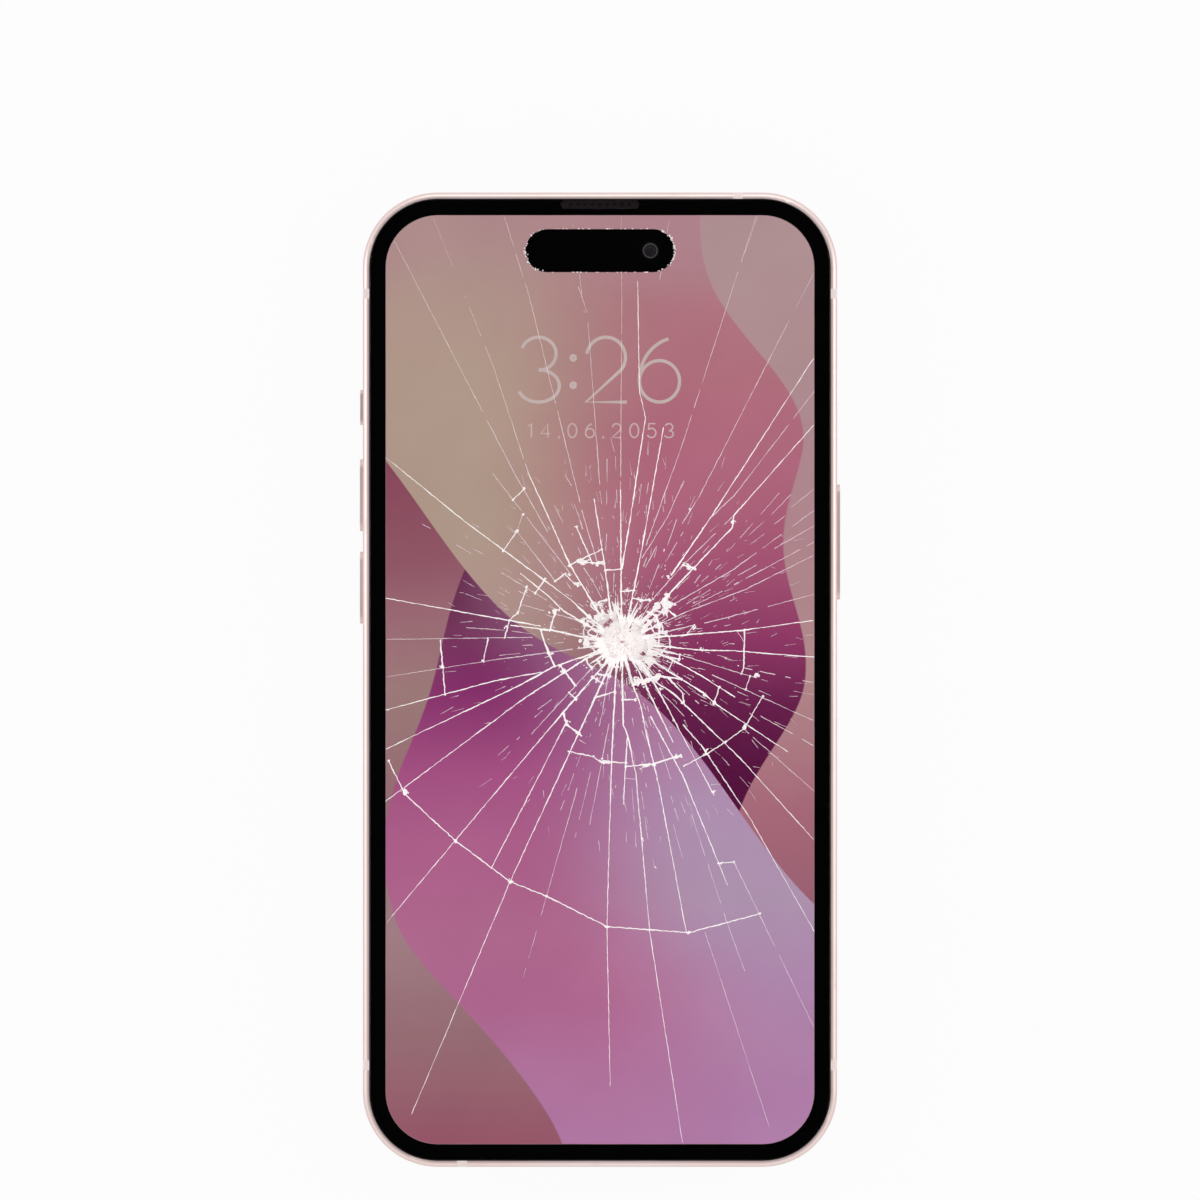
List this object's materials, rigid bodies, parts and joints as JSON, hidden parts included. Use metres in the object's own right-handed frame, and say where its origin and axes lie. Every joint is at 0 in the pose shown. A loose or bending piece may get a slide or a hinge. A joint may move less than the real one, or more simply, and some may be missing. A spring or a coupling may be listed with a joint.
{
  "type": "mobile phone",
  "caption": "Slab phone with a shattered front glass over a lit screen, metal band, side buttons, mute switch and SIM drawer.",
  "frame": {"origin": "middle of the bounding box at floor level, with the phone lying on its back on its lens rings", "axes": "+Z out of the screen, +Y towards the phone's top end, +X to the right seen from the front"},
  "size_m": [0.0726, 0.1472, 0.009],
  "materials": {
    "band_metal": "satin anodised, pale pink",
    "break_plastic": "matt, colour-matched to the band",
    "black_plastic": "matt black",
    "front_glass": "clear, shattered, with frosted white fracture faces",
    "black_ink": "gloss black seen through the glass",
    "lit_panel": "lit display showing fields of pink, plum and tan",
    "grey_metal": "bare pressed sheet",
    "flex_film": "amber film",
    "dark_mesh": "fine dark mesh",
    "lens_glass": "coated lens glass",
    "rear_glass": "frosted pink, opaque",
    "flash_plastic": "milky diffuser",
    "board_resin": "solder-masked board",
    "cell_foil": "black wrapped foil pouch",
    "tape": "white pull tape",
    "coil_copper": "wound copper",
    "ferrite": "dark sheet",
    "microphone_metal": "small pressed can",
    "screw_steel": "pink plated",
    "card_plastic": "plain white card"
  },
  "bodies": {
    "housing": {"frame": "band_metal", "antenna_breaks": "break_plastic", "glass_bezel": "black_plastic", "cover_glass": "front_glass", "border_mask": "black_ink", "display_panel": "lit_panel", "display_backplate": "grey_metal", "display_flex": "flex_film", "display_gasket": "black_plastic", "earpiece_mesh": "dark_mesh", "earpiece_speaker": "black_plastic", "front_camera": "black_plastic", "front_camera_lens": "lens_glass", "face_sensor": "black_plastic", "sensor_bracket": "grey_metal", "back_glass": "rear_glass", "back_gasket": "black_plastic", "lens_ring_main": "band_metal", "lens_ring_wide": "band_metal", "lens_cover_main": "lens_glass", "lens_cover_wide": "lens_glass", "camera_main": "black_plastic", "camera_wide": "black_plastic", "camera_bracket": "grey_metal", "flash_lens": "flash_plastic", "rear_microphone": "microphone_metal", "logic_board": "board_resin", "board_shield_front": "grey_metal", "board_shield_back": "grey_metal", "connector_cover": "grey_metal", "battery": "cell_foil", "battery_adhesive": "tape", "battery_flex": "flex_film", "haptic_case": "grey_metal", "loudspeaker": "black_plastic", "speaker_mesh": "dark_mesh", "port_shell": "grey_metal", "port_tongue": "black_plastic", "port_flex": "flex_film", "bottom_screws": "screw_steel", "inner_screws": "grey_metal", "charging_coil": "coil_copper", "coil_ferrite": "ferrite", "antenna_flex": "flex_film", "volume_switches": "grey_metal", "side_switch": "grey_metal", "mute_contact": "grey_metal", "sim_reader": "grey_metal", "bottom_microphone": "microphone_metal"},
    "volume_up": {"volume_up_button": "band_metal"},
    "volume_down": {"volume_down_button": "band_metal"},
    "side_key": {"side_button": "band_metal"},
    "mute_key": {"mute_switch": "band_metal"},
    "sim_drawer": {"sim_tray": "band_metal", "sim_card": "card_plastic"}
  },
  "joints": [
    {"name": "volume_up_press", "type": "slide", "parent": "housing", "child": "volume_up", "axis": [1, 0, 0], "range_m": [0, 0.0003], "stiffness_N_per_m": 4000},
    {"name": "volume_down_press", "type": "slide", "parent": "housing", "child": "volume_down", "axis": [1, 0, 0], "range_m": [0, 0.0003], "stiffness_N_per_m": 4000},
    {"name": "side_button_press", "type": "slide", "parent": "housing", "child": "side_key", "axis": [-1, 0, 0], "range_m": [0, 0.0003], "stiffness_N_per_m": 4000},
    {"name": "mute_switch_slide", "type": "slide", "parent": "housing", "child": "mute_key", "axis": [0, 0, 1], "range_m": [0, 0.001]},
    {"name": "sim_tray_slide", "type": "slide", "parent": "housing", "child": "sim_drawer", "axis": [-1, 0, 0], "range_m": [0, 0.02]}
  ]
}
